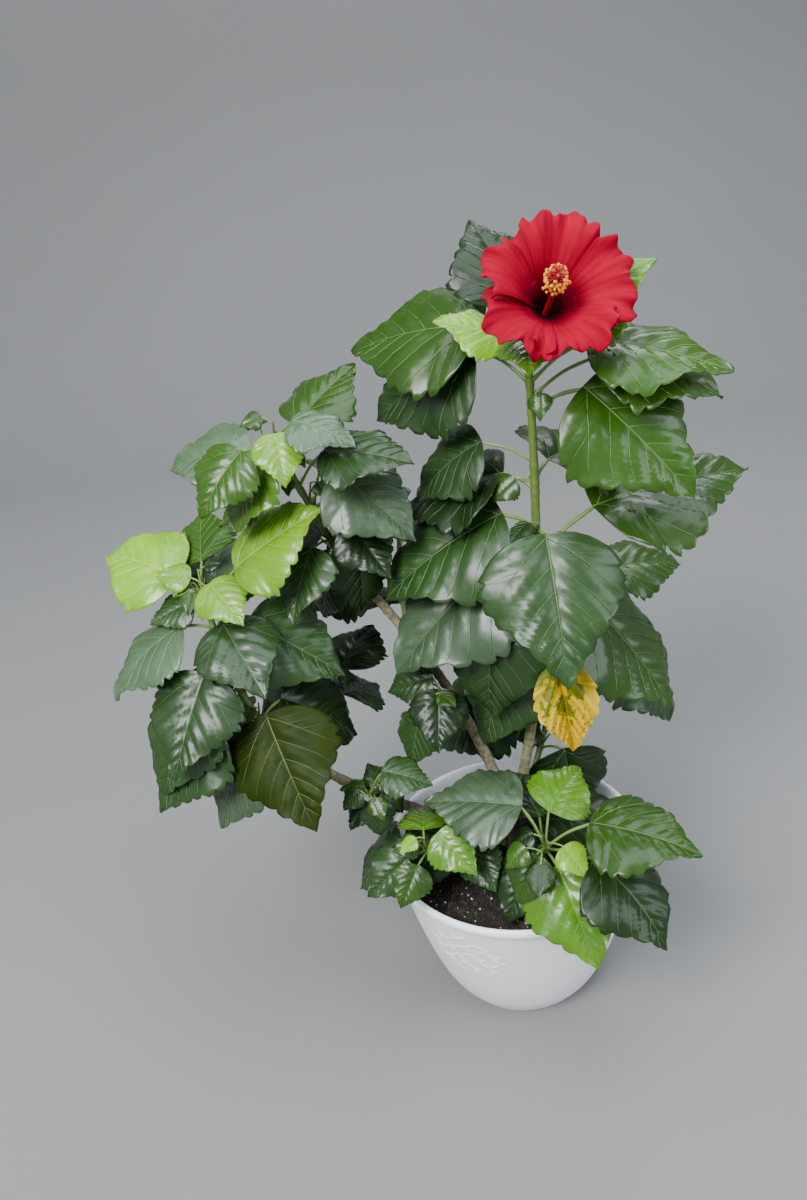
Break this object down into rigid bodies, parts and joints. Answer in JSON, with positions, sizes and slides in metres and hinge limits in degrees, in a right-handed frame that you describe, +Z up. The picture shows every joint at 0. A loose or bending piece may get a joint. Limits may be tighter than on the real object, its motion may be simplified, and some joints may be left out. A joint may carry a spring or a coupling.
{
  "type": "potted hibiscus shrub",
  "caption": "Potted hibiscus shrub: forked woody stem, toothed ovate leaves in masses and a ruffled red bloom, in a white bowl pot",
  "frame": {"origin": "centre of the pot's flat underside", "axes": "+Z up; -Y is the side that faces the light and the picture's viewer; +X to that viewer's right"},
  "size_m": [0.5097, 0.3388, 0.6516],
  "materials": {
    "pot": "satin",
    "soil": "matte",
    "bark": "matte",
    "leaf": "satin",
    "petal": "satin",
    "column": "matte"
  },
  "bodies": {
    "root": {"pot": "pot", "soil": "soil", "trunk": "bark", "bough_tall": "bark", "bough_left_high": "bark", "bough_left_low": "bark", "foliage_tall": "leaf", "foliage_front_right": "leaf", "foliage_front_left": "leaf", "foliage_left_high": "leaf", "foliage_left_low": "leaf", "foliage_inner_high": "leaf", "foliage_inner_low": "leaf", "foliage_back_right": "leaf", "foliage_back_high": "leaf", "foliage_back_low": "leaf", "flower_petals": "petal", "flower_column": "column"}
  },
  "joints": []
}
